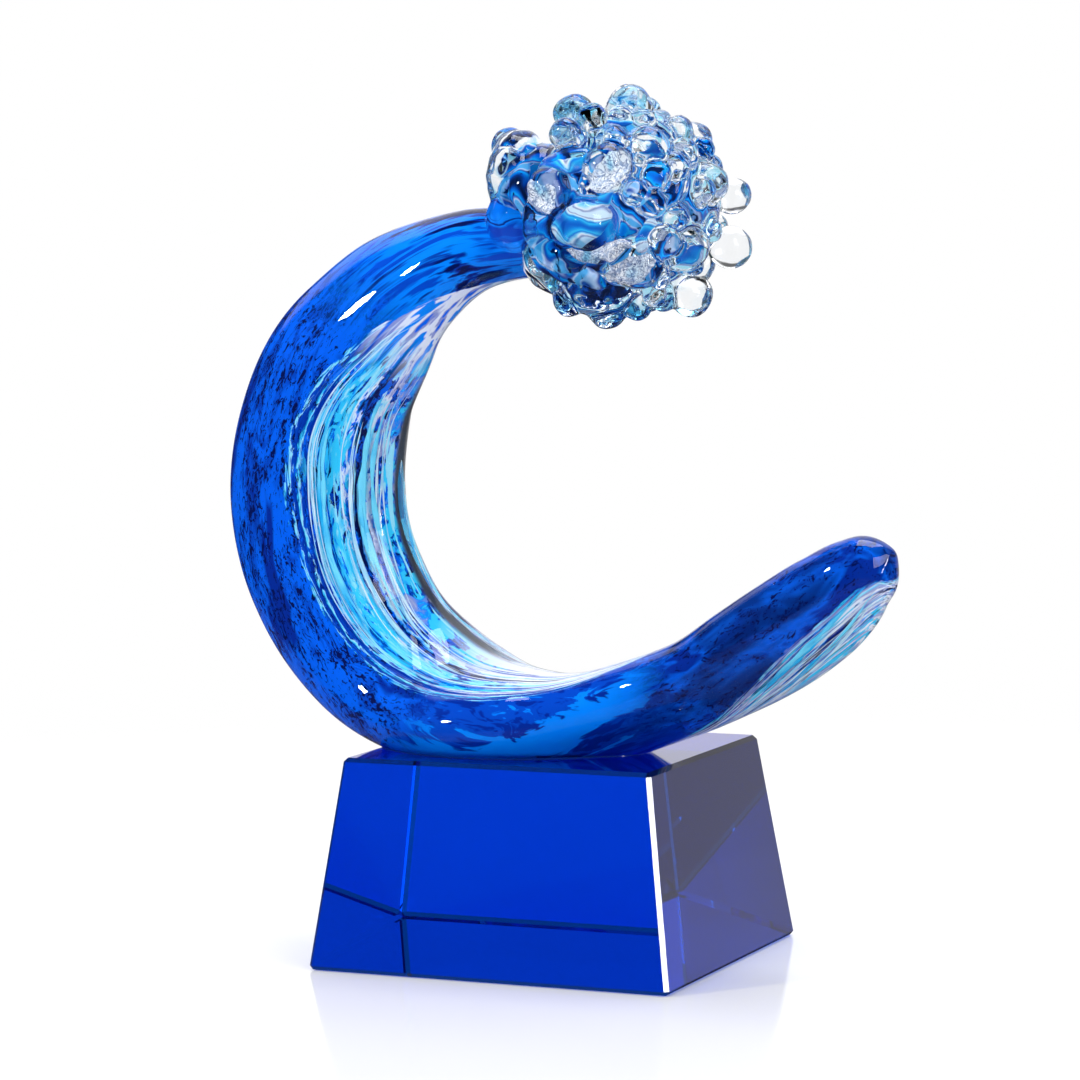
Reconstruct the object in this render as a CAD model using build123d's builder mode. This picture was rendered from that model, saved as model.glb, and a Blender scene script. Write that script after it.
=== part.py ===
from build123d import *
import math
import os

# Glass wave sculpture: a cobalt and clear glass ribbon that curls over into a frothy crest,
# standing on a tapered crystal block. Millimetres, +Z up, +X along the block's long side,
# -Y towards the viewer. The origin is the centre of the block's underside.

# Base block
base_length = 114.3
base_depth = 102.5
base_height = 62.0
base_inset = 8.5
base_chamfer = 1.2

# Bond between the ground foot and the block
bond_thickness = 0.3

# Ribbon: height of its middle line at the crest above the block, and its largest half sizes
curl_height = 150.0
ribbon_half_width = 28.0
ribbon_half_thickness = 15.0

# Clear casing glass round the ribbon's colours, in lengths that meet at flat faces. The faces
# all pass through the middle of the curl: each length's name, then its first and last angle
# there, in degrees from the tail's side over the crest
curl_middle_share = 0.5
casing_angles = [
    ("wave_neck", 50, 112),
    ("wave_shoulder", 112, 150),
    ("wave_back", 150, 192),
    ("wave_belly", 192, 234),
    ("wave_foot", 234, 298),
    ("wave_tail", 298, 370),
]

# Coloured glass inside the ribbon
foot_wall = 1.5
cane_half_width = 1.6
cane_half_thickness = 0.35

# Crest: a round head and a smaller root lump where the ribbon runs into it
head_radius = 29.0
head_reach = 17.5
head_rise = 9.8
root_radius = 19.5
root_back = 22.5
root_drop = 2.0
crest_blend = 5.0
crest_core_radius = 18.0
crest_core_gap = 1.5
crest_core_drop = 3.0

# Froth beads: the commonest bead's radius
bead_radius = 6.0

# Stations along the middle line, from the crest to the tail's tip.
# Place (x, y, z) in shares of curl_height above the block's top face, half width and half
# thickness in shares of the ribbon's largest ones, and the twist of the broad side in degrees.
station_shares = [
    ((0.025, 0.015, 1.000), 0.40, 0.69, -60),
    ((-0.070, 0.015, 0.995), 0.40, 0.69, -56),
    ((-0.170, 0.015, 0.980), 0.48, 0.80, -45),
    ((-0.260, 0.015, 0.940), 0.63, 0.87, -32),
    ((-0.340, 0.015, 0.885), 0.77, 0.93, -20),
    ((-0.405, 0.005, 0.810), 0.87, 0.97, -10),
    ((-0.460, 0.000, 0.730), 0.93, 1.00, -3),
    ((-0.500, 0.000, 0.620), 0.99, 1.00, 0),
    ((-0.515, 0.000, 0.515), 1.00, 1.00, 5),
    ((-0.500, -0.005, 0.400), 0.97, 1.00, 12),
    ((-0.450, -0.015, 0.290), 0.93, 1.00, 22),
    ((-0.365, -0.020, 0.180), 0.90, 1.03, 40),
    ((-0.250, -0.025, 0.105), 0.97, 1.07, 64),
    ((-0.120, -0.035, 0.060), 1.10, 1.11, 86),
    ((0.000, -0.040, 0.047), 1.06, 1.08, 96),
    ((0.125, -0.055, 0.070), 0.80, 0.90, 104),
    ((0.235, -0.075, 0.105), 0.60, 0.86, 116),
    ((0.350, -0.095, 0.148), 0.55, 0.83, 130),
    ((0.460, -0.115, 0.207), 0.58, 0.80, 145),
    ((0.555, -0.130, 0.265), 0.57, 0.77, 158),
    ((0.640, -0.145, 0.324), 0.52, 0.73, 168),
    ((0.705, -0.160, 0.376), 0.41, 0.63, 175),
    ((0.752, -0.170, 0.406), 0.26, 0.42, 178),
    ((0.774, -0.175, 0.418), 0.08, 0.13, 180),
]

# Cobalt core: first and last station, its middle towards the blue edge, and its half sizes,
# in shares of the ribbon's own half sizes at each station
core_stations = (1, 22)
core_middle_share = 0.05
core_width_share = 0.86
core_thickness_share = 0.84

# Canes of white and turquoise glass between the core and the skin: first and last station,
# then the angle round the oval in degrees from the blue edge, at the first and last station
white_cane_angles = [
    (2, 14, 236, 232),
    (4, 16, 199, 196),
    (4, 13, 182, 180),
    (5, 12, 148, 150),
    (3, 11, 112, 114),
    (16, 21, 152, 150),
]
turquoise_cane_angles = [
    (3, 13, 216, 214),
    (4, 14, 254, 250),
    (5, 11, 165, 165),
    (4, 11, 130, 132),
    (5, 11, 94, 96),
    (16, 21, 124, 126),
]
cane_depth_share = 0.92
cane_end_share = 0.4

# Points round every oval
ring_points = 16

# Froth beads on the head: azimuth and elevation in degrees, the bead's radius as a share of
# bead_radius, and how far its middle stands off the head as a share of its own radius
head_bead_shares = [
    (-135, 65, 0.90, 0.15),
    (-35, 75, 1.00, 0.10),
    (0, 47, 0.70, 0.10),
    (0, 12, 0.95, 0.00),
    (25, 5, 0.80, 1.10),
    (22, -20, 0.95, 1.10),
    (18, -50, 0.90, 0.95),
    (-25, -58, 0.55, 0.30),
    (-20, -74, 0.60, 0.30),
    (-112, -83, 0.85, 0.20),
    (-142, -62, 0.75, 0.30),
    (-47, 2, 0.65, 0.20),
    (-30, -5, 0.55, 0.20),
    (-18, -24, 1.00, 0.00),
    (0, -13, 0.60, 0.20),
    (-42, 36, 0.90, 0.00),
    (-18, 30, 0.75, 0.10),
    (-62, 58, 0.60, 0.20),
    (-108, 45, 0.75, 0.20),
    (-72, 25, 1.05, -0.20),
    (-112, 12, 1.00, -0.30),
    (-84, -10, 1.20, -0.40),
    (-52, -36, 1.15, -0.30),
    (-44, 17, 0.60, 0.10),
    (42, 38, 0.90, 0.20),
    (60, -2, 1.00, 0.10),
    (48, -34, 0.85, 0.40),
    (82, 26, 0.80, 0.20),
    (92, -16, 1.05, 0.00),
    (78, -56, 0.90, 0.20),
    (112, 55, 0.90, 0.10),
    (118, 8, 0.95, 0.00),
    (122, -38, 0.85, 0.10),
    (60, 68, 0.75, 0.10),
]
root_bead_shares = [
    (180, 60, 0.80, 0.80),
    (-120, 48, 0.70, 0.10),
    (110, 42, 0.80, 0.10),
]

# Outline of one bead, in shares of its radius: where its stem leaves the ball, in degrees
# below the ball's middle, the stem's radius, and how deep the stem starts
stem_angle = 35
stem_radius_share = 0.85
stem_depth_share = 1.7

foot_plane = base_height + bond_thickness


# Places along the ribbon

def station_point(index):
    across, deep, up = station_shares[index][0]
    return Vector(across, deep, up) * curl_height + Vector(0, 0, base_height)


def station_plane(index):
    # x of the plane points along the broad side, towards the blue edge, and z along the ribbon
    last = len(station_shares) - 1
    before = station_point(max(index - 1, 0))
    after = station_point(min(index + 1, last))
    along = (after - before).normalized()
    outward = Vector(0, 1, 0).cross(along).normalized()
    depth = along.cross(outward)
    twist = math.radians(station_shares[index][3])
    broad = outward * math.cos(twist) - depth * math.sin(twist)
    return Plane(origin=station_point(index), x_dir=broad, z_dir=along)


def half_sizes(index):
    return (
        station_shares[index][1] * ribbon_half_width,
        station_shares[index][2] * ribbon_half_thickness,
    )


def oval_ring(plane, half_width, half_thickness):
    # Points round one oval in a plane, from its broad side and back to it
    turns = [2 * math.pi * step / ring_points for step in range(ring_points)]
    ring = [
        plane.from_local_coords(
            Vector(half_width * math.cos(turn), half_thickness * math.sin(turn), 0)
        )
        for turn in turns
    ]
    return ring + ring[:1]


def solid_through(rings):
    # One smooth surface through all the rings, closed by a flat cap at each end
    side = Face.make_surface_from_array_of_points(rings, min_deg=3, max_deg=3)
    caps = [Face(Wire([rim])) for rim in side.edges() if rim.is_closed]
    return Solid(Shell(Face.sew_faces([side] + caps)[0]))


def ribbon_ring(index):
    half_width, half_thickness = half_sizes(index)
    return oval_ring(station_plane(index), half_width, half_thickness)


def core_ring(index):
    half_width, half_thickness = half_sizes(index)
    plane = station_plane(index)
    plane.origin = plane.from_local_coords(Vector(core_middle_share * half_width, 0, 0))
    return oval_ring(plane, core_width_share * half_width, core_thickness_share * half_thickness)


def cane_ring(index, cane):
    # A flat oval that lies along the skin
    first, last, first_angle, last_angle = cane
    half_width, half_thickness = half_sizes(index)
    turn = math.radians(first_angle + (last_angle - first_angle) * (index - first) / (last - first))
    place = Vector(half_width * math.cos(turn), half_thickness * math.sin(turn), 0) * cane_depth_share
    skin_way = Vector(-half_width * math.sin(turn), half_thickness * math.cos(turn), 0)
    plane = station_plane(index)
    broad = plane.x_dir * skin_way.X + plane.y_dir * skin_way.Y
    fullness = cane_end_share if index in (first, last) else 1
    return oval_ring(
        Plane(origin=plane.from_local_coords(place), x_dir=broad, z_dir=plane.z_dir),
        fullness * cane_half_width,
        fullness * cane_half_thickness,
    )


# Base block, a tapered crystal block with bright chamfers

with BuildPart() as base_block:
    with BuildSketch():
        Rectangle(base_length, base_depth)
    with BuildSketch(Plane.XY.offset(base_height)):
        Rectangle(base_length - 2 * base_inset, base_depth - 2 * base_inset)
    loft()
    chamfer(base_block.edges(), length=base_chamfer)
base_block.part.label = "base_block"

# The ribbon's outer form, ground flat where it stands on the block

with BuildPart() as wave_form:
    add(solid_through([ribbon_ring(index) for index in range(len(station_shares))]))
    split(bisect_by=Plane.XY.offset(foot_plane), keep=Keep.TOP)

with BuildPart() as wave_core:
    core_run = range(core_stations[0], core_stations[1] + 1)
    add(solid_through([core_ring(index) for index in core_run]))
    split(bisect_by=Plane.XY.offset(foot_plane + foot_wall), keep=Keep.TOP)
wave_core.part.label = "wave_core"


def make_cane(name, cane):
    with BuildPart() as strand:
        add(solid_through([cane_ring(index, cane) for index in range(cane[0], cane[1] + 1)]))
    strand.part.label = name
    return strand.part


canes = [
    make_cane(f"white_cane_{number}", cane)
    for number, cane in enumerate(white_cane_angles, start=1)
] + [
    make_cane(f"turquoise_cane_{number}", cane)
    for number, cane in enumerate(turquoise_cane_angles, start=1)
]

# Clear casing glass, with the coloured glass sealed inside it

curl_middle = Vector(0, 0, base_height + curl_middle_share * curl_height)
curl_plane = Plane(origin=curl_middle, x_dir=(1, 0, 0), z_dir=(0, -1, 0))


def curl_point(angle):
    turn = math.radians(angle)
    return (curl_height * math.cos(turn), curl_height * math.sin(turn))


def make_casing(name, first, last):
    wedge = [curl_point(angle) for angle in (first, (first + last) / 2, last)]
    with BuildPart() as length:
        with BuildSketch(curl_plane):
            with BuildLine():
                Polyline((0, 0), *wedge, close=True)
            make_face()
        extrude(amount=curl_height, both=True)
        add(wave_form.part, mode=Mode.INTERSECT)
        add(wave_core.part, mode=Mode.SUBTRACT)
        for cane in canes:
            add(cane, mode=Mode.SUBTRACT)
    length.part.label = name
    return length.part


casings = [make_casing(*length) for length in casing_angles]

# Thin clear bond under the whole ground foot

with BuildPart() as bond_film:
    extrude(wave_form.faces().sort_by(Axis.Z)[0], amount=bond_thickness)
bond_film.part.label = "bond_film"

# Crest: a head of clear glass over a cobalt core, worked round the ribbon's end

ribbon_end = station_point(0)
head_centre = ribbon_end + Vector(head_reach, 0, head_rise)
root_centre = head_centre - Vector(root_back, 0, root_drop)

with BuildPart() as crest_form:
    with Locations(head_centre):
        Sphere(head_radius)
    with Locations(root_centre):
        Sphere(root_radius)
    seam = crest_form.edges().filter_by(GeomType.CIRCLE).sort_by(Edge.length.fget)[-1]
    fillet(seam, radius=crest_blend)

core_centre = ribbon_end + Vector(crest_core_gap + crest_core_radius, 0, head_rise - crest_core_drop)
with BuildPart() as crest_core:
    with Locations(core_centre):
        Sphere(crest_core_radius)
crest_core.part.label = "crest_core"

with BuildPart() as crest_casing:
    add(crest_form.part)
    add(crest_core.part, mode=Mode.SUBTRACT)
    add(wave_form.part, mode=Mode.SUBTRACT)
crest_casing.part.label = "crest_casing"


# Froth beads, each a round drop on a short stem, fused onto the head

def bead_axis_plane(centre, azimuth, elevation):
    # y of the plane points out of the head along the bead's own axis
    turn, lift = math.radians(azimuth), math.radians(elevation)
    out = Vector(
        math.cos(lift) * math.cos(turn), math.cos(lift) * math.sin(turn), math.sin(lift)
    )
    side = Vector(-math.sin(turn), math.cos(turn), 0)
    return Plane(origin=centre, x_dir=side, z_dir=side.cross(out))


def make_bead(name, centre, lump_radius, bead, neighbours):
    azimuth, elevation, size_share, stand_share = bead
    radius = size_share * bead_radius
    middle = lump_radius + stand_share * radius
    root = lump_radius - stem_depth_share * radius
    angle = math.radians(stem_angle)
    stem_top = (radius * math.cos(angle), middle - radius * math.sin(angle))
    plane = bead_axis_plane(centre, azimuth, elevation)
    with BuildPart() as drop:
        with BuildSketch(plane):
            with BuildLine():
                Polyline((0, middle + radius), (0, root), (stem_radius_share * radius, root), stem_top)
                ThreePointArc(stem_top, (radius, middle), (0, middle + radius))
            make_face()
        revolve(axis=Axis(plane.origin, plane.y_dir))
        add(crest_form.part, mode=Mode.SUBTRACT)
        for other_middle, other_radius, other in neighbours:
            gap = (other_middle - plane.from_local_coords((0, middle))).length
            if gap < radius + other_radius:
                add(other, mode=Mode.SUBTRACT)
    drop.part.label = name
    return plane.from_local_coords(Vector(0, middle, 0)), radius, drop.part


beads = []
for bead in head_bead_shares:
    label = f"froth_bead_{len(beads) + 1:02d}"
    beads.append(make_bead(label, head_centre, head_radius, bead, beads))
for bead in root_bead_shares:
    label = f"froth_bead_{len(beads) + 1:02d}"
    beads.append(make_bead(label, root_centre, root_radius, bead, beads))

# One file for each piece

os.makedirs("parts", exist_ok=True)
export_step(base_block.part, "parts/base_block.step")
export_step(bond_film.part, "parts/bond_film.step")
export_step(wave_core.part, "parts/wave_core.step")
export_step(crest_casing.part, "parts/crest_casing.step")
export_step(crest_core.part, "parts/crest_core.step")
for piece in casings + canes + [bead[2] for bead in beads]:
    export_step(piece, f"parts/{piece.label}.step")
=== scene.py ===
import bpy
import bmesh
import math
import random
import numpy as np
from mathutils import Matrix, Vector, noise


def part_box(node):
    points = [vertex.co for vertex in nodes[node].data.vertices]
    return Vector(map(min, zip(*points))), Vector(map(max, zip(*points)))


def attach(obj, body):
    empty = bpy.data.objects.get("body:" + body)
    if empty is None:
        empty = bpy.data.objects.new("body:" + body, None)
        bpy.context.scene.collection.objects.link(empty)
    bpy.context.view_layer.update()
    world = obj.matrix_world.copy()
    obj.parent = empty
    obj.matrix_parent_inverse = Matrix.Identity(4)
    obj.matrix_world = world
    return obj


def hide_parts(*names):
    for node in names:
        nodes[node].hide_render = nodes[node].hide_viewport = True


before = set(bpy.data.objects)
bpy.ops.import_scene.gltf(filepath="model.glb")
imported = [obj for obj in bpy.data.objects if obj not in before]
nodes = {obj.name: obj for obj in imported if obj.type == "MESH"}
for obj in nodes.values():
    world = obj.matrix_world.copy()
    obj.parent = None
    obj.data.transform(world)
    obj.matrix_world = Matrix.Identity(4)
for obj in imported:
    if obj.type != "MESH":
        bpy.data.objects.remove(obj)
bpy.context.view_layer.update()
scene = bpy.context.scene
print("frame loaded:", len(nodes), "nodes")


# camera, at the photograph's place

photoCamera = {
    "place": (0.492242, -1.108569, 0.232686),
    "right": (0.9132826, 0.4071203, -0.0129606),
    "up": (-0.0246768, 0.0870609, 0.9958973),
    "back": (0.4065784, -0.9092159, 0.0895576),
    "lens": 136.95,
    "sensor": 36,
    "farthest": 20,
}


def makeCamera():
    data = bpy.data.cameras.new("photoCamera")
    data.lens = photoCamera["lens"]
    data.sensor_width = photoCamera["sensor"]
    data.clip_end = photoCamera["farthest"]
    camera = bpy.data.objects.new("photoCamera", data)
    scene.collection.objects.link(camera)
    turn = Matrix((photoCamera["right"], photoCamera["up"], photoCamera["back"])).transposed()
    camera.matrix_world = Matrix.Translation(photoCamera["place"]) @ turn.to_4x4()
    scene.camera = camera


makeCamera()
print("camera placed")


# small helpers for meshes and materials

def placePiece(name, mesh, material, smooth=True):
    mesh.materials.append(material)
    mesh.polygons.foreach_set("use_smooth", [smooth] * len(mesh.polygons))
    piece = bpy.data.objects.new(name, mesh)
    scene.collection.objects.link(piece)
    return piece


def newPiece(name, vertices, faces, material, smooth=True):
    mesh = bpy.data.meshes.new(name)
    mesh.from_pydata([tuple(v) for v in vertices], [], faces)
    mesh.update()
    return placePiece(name, mesh, material, smooth)


def lumpPiece(name, form, material):
    mesh = bpy.data.meshes.new(name)
    form.to_mesh(mesh)
    form.free()
    return placePiece(name, mesh, material)


def applyModifiers(piece, material):
    # the mesh as its modifiers shape it, all in one material
    graph = bpy.context.evaluated_depsgraph_get()
    graph.update()
    mesh = bpy.data.meshes.new_from_object(piece.evaluated_get(graph))
    old = piece.data
    piece.modifiers.clear()
    piece.data = mesh
    bpy.data.meshes.remove(old)
    mesh.materials.clear()
    mesh.materials.append(material)
    mesh.polygons.foreach_set("material_index", [0] * len(mesh.polygons))
    mesh.polygons.foreach_set("use_smooth", [True] * len(mesh.polygons))


def newMaterial(name):
    material = bpy.data.materials.new(name)
    material.use_nodes = True
    tree = material.node_tree
    shader = next(n for n in tree.nodes if n.type == "BSDF_PRINCIPLED")
    return material, tree, shader


def setSocket(tree, socket, value):
    # a link where the value comes from another node, otherwise a plain number or colour
    if isinstance(value, bpy.types.NodeSocket):
        tree.links.new(value, socket)
    else:
        socket.default_value = value


def addNode(tree, kind, sockets=None, **settings):
    node = tree.nodes.new("ShaderNode" + kind)
    for name, value in settings.items():
        setattr(node, name, value)
    for name, value in (sockets or {}).items():
        setSocket(tree, node.inputs[name], value)
    return node


def maths(tree, operation, first, second=0.0, third=0.0):
    return addNode(tree, "Math", {0: first, 1: second, 2: third}, operation=operation).outputs[0]


def product(tree, first, *others):
    for other in others:
        first = maths(tree, "MULTIPLY", first, other)
    return first


def largest(tree, first, *others):
    for other in others:
        first = maths(tree, "MAXIMUM", first, other)
    return first


def smoothBand(tree, value, low, high, outLow=0.0, outHigh=1.0):
    ranged = addNode(tree, "MapRange", {
        "Value": value, "From Min": low, "From Max": high, "To Min": outLow, "To Max": outHigh,
    }, interpolation_type="SMOOTHSTEP")
    return ranged.outputs["Result"]


def mixColour(tree, share, first, second):
    mix = addNode(tree, "Mix", data_type="RGBA")
    for name, kind, value in (("Factor", "VALUE", share), ("A", "RGBA", first), ("B", "RGBA", second)):
        setSocket(tree, next(s for s in mix.inputs if s.name == name and s.type == kind), value)
    return next(s for s in mix.outputs if s.type == "RGBA")


def sRgb(red, green, blue):
    # a colour as it is seen, 0 to 255, in the linear numbers that the shader takes
    def linear(value):
        value /= 255
        return value / 12.92 if value <= 0.04045 else ((value + 0.055) / 1.055) ** 2.4
    return (linear(red), linear(green), linear(blue), 1.0)


def addRamp(tree, value, rows):
    # rows of position and colour, 0 to 255
    ramp = addNode(tree, "ValToRGB", {"Fac": value})
    stops = ramp.color_ramp.elements
    while len(stops) < len(rows):
        stops.new(1.0)
    for stop, (position, colour) in zip(stops, rows):
        stop.position, stop.color = position, sRgb(*colour)
    return ramp.outputs["Color"]


def objectPlace(tree):
    return addNode(tree, "TexCoord").outputs["Object"]


def axes(tree, vector):
    parts = addNode(tree, "SeparateXYZ", {"Vector": vector})
    return [parts.outputs[k] for k in range(3)]


def cloudOf(tree, vector, cloud):
    return addNode(tree, "TexNoise", {"Vector": vector, **cloud}).outputs["Fac"]


def wavesOf(tree, vector, waves, way):
    node = addNode(tree, "TexWave", {"Vector": vector, **waves}, wave_type="BANDS", bands_direction=way)
    return node.outputs["Fac"]


def addBump(tree, shader, height, strength, distance):
    bump = addNode(tree, "Bump", {"Height": height, "Strength": strength, "Distance": distance})
    tree.links.new(bump.outputs["Normal"], shader.inputs["Normal"])


def finishGlass(tree, shader, colour, finish):
    for name, value in {"Base Color": colour, **finish}.items():
        setSocket(tree, shader.inputs[name], value)


def clearWhere(tree, shader, share):
    # the shader, with nothing seen of it where the share is 1
    clear = addNode(tree, "BsdfTransparent")
    mix = addNode(tree, "MixShader", {0: share, 1: shader.outputs[0], 2: clear.outputs[0]})
    out = next(n for n in tree.nodes if n.type == "OUTPUT_MATERIAL")
    tree.links.new(mix.outputs[0], out.inputs["Surface"])
    return clear


def letLampsThrough(tree, shader):
    # lamps reach the coloured glass inside: the clear skin throws no shadow of its own
    return clearWhere(tree, shader, addNode(tree, "LightPath").outputs["Is Shadow Ray"])


# the ribbon of glass: its middle line and ovals, as the frame has them

ribbon = {
    "curlHeight": 0.15,
    "halfWidth": 0.028,
    "halfThickness": 0.015,
    "rings": 360,
    "around": 96,
    "endBulge": 0.45,    # how far the ends stand out, as a share of their smaller half size
    # where the streaks begin at each station, on a scale from -1 to 1. Those of the curl run from its
    # inside (-1) to its outside (1), those of the tail from its clear edge (-1) to its blue one (1),
    # and below -1 there are none
    "curlStarts": [
        -0.7, -0.68, -0.52, -0.28, -0.2, -0.12, -0.05, 0.1, 0.02, -0.06, -0.12, -0.26,
        -0.42, -0.54, -0.62, -0.72, -0.88,
    ] + [-1.06] * 7,
    "tailStarts": [-1.06] * 14 + [
        -0.96, -0.8, -0.58, -0.42, -0.22, -0.14, -0.18, -0.26, -0.32, -0.32,
    ],
    # how far the streaks' middle line leans from the inside of the curl to the side away from the viewer
    "streakLeans": [46, 42, 34, 22, 10, 3] + [0] * 18,
    "tailWidthShare": 0.57,
    "leastFan": 0.04,
    # middle as shares of the curl's height, width and thickness shares, and twist in degrees
    "stationShares": [
        ((0.025, 0.015, 1.0), 0.4, 0.69, -60),
        ((-0.07, 0.015, 0.995), 0.4, 0.69, -56),
        ((-0.17, 0.015, 0.98), 0.48, 0.8, -45),
        ((-0.26, 0.015, 0.94), 0.63, 0.87, -32),
        ((-0.34, 0.015, 0.885), 0.77, 0.93, -20),
        ((-0.405, 0.005, 0.81), 0.87, 0.97, -10),
        ((-0.46, 0.0, 0.73), 0.93, 1.0, -3),
        ((-0.5, 0.0, 0.62), 0.99, 1.0, 0),
        ((-0.515, 0.0, 0.515), 1.0, 1.0, 5),
        ((-0.5, -0.005, 0.4), 0.97, 1.0, 12),
        ((-0.45, -0.015, 0.29), 0.93, 1.0, 22),
        ((-0.365, -0.02, 0.18), 0.9, 1.03, 40),
        ((-0.25, -0.025, 0.105), 0.97, 1.07, 64),
        ((-0.12, -0.035, 0.06), 1.1, 1.11, 86),
        ((0.0, -0.04, 0.047), 1.06, 1.08, 96),
        ((0.125, -0.055, 0.07), 0.8, 0.9, 104),
        ((0.235, -0.075, 0.105), 0.6, 0.86, 116),
        ((0.35, -0.095, 0.148), 0.55, 0.83, 130),
        ((0.46, -0.115, 0.207), 0.58, 0.8, 145),
        ((0.555, -0.13, 0.265), 0.57, 0.77, 158),
        ((0.64, -0.145, 0.324), 0.52, 0.73, 168),
        ((0.705, -0.16, 0.376), 0.41, 0.63, 175),
        ((0.752, -0.17, 0.406), 0.26, 0.42, 178),
        ((0.774, -0.175, 0.418), 0.08, 0.13, 180),
    ],
}

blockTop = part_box("base_block")[1].z
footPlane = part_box("bond_film")[1].z


def curveThrough(knots, values, places):
    # a smooth cubic curve through the values, with slopes from their neighbours
    slopes = np.gradient(values, knots, axis=0, edge_order=2)
    cell = np.clip(np.searchsorted(knots, places, side="right") - 1, 0, len(knots) - 2)
    span = knots[cell + 1] - knots[cell]
    way = (places - knots[cell]) / span
    if values.ndim > 1:
        way, span = way[:, None], span[:, None]
    first, second = values[cell], values[cell + 1]
    rise, fall = slopes[cell] * span, slopes[cell + 1] * span
    return (
        (2 * way ** 3 - 3 * way ** 2 + 1) * first
        + (way ** 3 - 2 * way ** 2 + way) * rise
        + (-2 * way ** 3 + 3 * way ** 2) * second
        + (way ** 3 - way ** 2) * fall
    )


def unit(rows):
    return rows / np.linalg.norm(rows, axis=1)[:, None]


def ribbonRun():
    # places, half sizes and directions at evenly spaced rings along the ribbon
    shares = ribbon["stationShares"]
    middle = np.array([s[0] for s in shares]) * ribbon["curlHeight"] + [0, 0, blockTop]
    steps = np.linalg.norm(np.diff(middle, axis=0), axis=1)
    knots = np.concatenate([[0], np.cumsum(steps)])
    along = np.linspace(0, knots[-1], ribbon["rings"])

    def smooth(values):
        return curveThrough(knots, np.array(values, float), along)

    place = smooth(middle)
    twist = np.radians(smooth([s[3] for s in shares]))
    forward = unit(np.gradient(place, along, axis=0))
    outward = unit(np.cross([0.0, 1.0, 0.0], forward))
    depth = np.cross(forward, outward)
    broad = outward * np.cos(twist)[:, None] - depth * np.sin(twist)[:, None]
    return {
        "along": along, "place": place, "forward": forward, "outward": outward, "depth": depth,
        "broad": broad, "thin": np.cross(forward, broad),
        "width": smooth([s[1] * ribbon["halfWidth"] for s in shares]),
        "thickness": smooth([s[2] * ribbon["halfThickness"] for s in shares]),
        "curlStart": smooth(ribbon["curlStarts"]),
        "tailStart": smooth(ribbon["tailStarts"]),
        "turned": twist - np.radians(smooth(ribbon["streakLeans"])),
    }


run = ribbonRun()


def flowAttributes(piece, flow, fan):
    # flow: length along the ribbon, and how far outward and how deep from its middle line
    # fan: how far into the streaks, share of the length, and side, from the viewer's (-1) to the back (1)
    for name, rows in (("flow", flow), ("fan", fan)):
        layer = piece.data.attributes.new(name, "FLOAT_VECTOR", "POINT")
        layer.data.foreach_set("vector", np.asarray(rows, np.float32).ravel())


def fanShare(start, across):
    return (start - across) / max(start + 1, ribbon["leastFan"])


def streakPlace(ring, turns):
    # 0 where the streaks begin and 1 at their middle line, round one ring of the ribbon
    # the tail's streaks stay parallel, so its rounded tip cuts them off
    narrowing = min(1.0, ring["width"] / (ribbon["halfWidth"] * ribbon["tailWidthShare"]))
    curl = fanShare(ring["curlStart"], np.cos(turns - ring["turned"]))
    tail = fanShare(ring["tailStart"], np.cos(turns) * narrowing)
    return np.maximum(np.maximum(curl, tail), -1.0)


def makeRibbonPiece(name, material, middle, acrossShare, throughShare, floor, first=0.0, last=1.0):
    # a closed tube of ovals round the ribbon's middle line, cut flat at the foot
    count = ribbon["rings"]
    rows = range(int(first * (count - 1)), int(last * (count - 1)) + 1)
    turns = np.linspace(0, 2 * math.pi, ribbon["around"], endpoint=False)
    vertices, flow, fan, faces = [], [], [], []
    for row in rows:
        ring = {key: run[key][row] for key in run}
        across = (middle + acrossShare * np.cos(turns)) * ring["width"]
        through = throughShare * np.sin(turns) * ring["thickness"]
        offset = np.outer(across, ring["broad"]) + np.outer(through, ring["thin"])
        vertices.extend(ring["place"] + offset)
        flow.extend(np.column_stack([
            np.full_like(across, ring["along"]), offset @ ring["outward"], offset @ ring["depth"]]))
        into = streakPlace(ring, turns)
        fan.extend(np.column_stack([
            into, np.full_like(into, row / (count - 1)), np.sin(turns - ring["turned"])]))
    around = ribbon["around"]
    for ring in range(len(rows) - 1):
        for step in range(around):
            after = (step + 1) % around
            a, b = ring * around + step, ring * around + after
            faces.append((a, b, b + around, a + around))
    for row, start in ((rows[0], 0), (rows[-1], (len(rows) - 1) * around)):
        tip = len(vertices)
        outward = -1 if start == 0 else 1
        bulge = ribbon["endBulge"] * min(run["width"][row], run["thickness"][row]) * outward
        vertices.append(run["place"][row] + run["broad"][row] * middle * run["width"][row]
                        + run["forward"][row] * bulge)
        flow.append((run["along"][row], 0, 0))
        fan.append((min(point[0] for point in fan[start:start + around]), row / (count - 1), 0))
        for step in range(around):
            pair = (start + step, start + (step + 1) % around)
            faces.append((pair[1], pair[0], tip) if start == 0 else (pair[0], pair[1], tip))
    vertices = np.array(vertices)
    vertices[:, 2] = np.maximum(vertices[:, 2], floor)
    piece = newPiece(name, vertices, faces, material)
    flowAttributes(piece, flow, fan)
    return piece


# cobalt glass with darker veins, turning to turquoise and white streaks towards the clear edge

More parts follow.
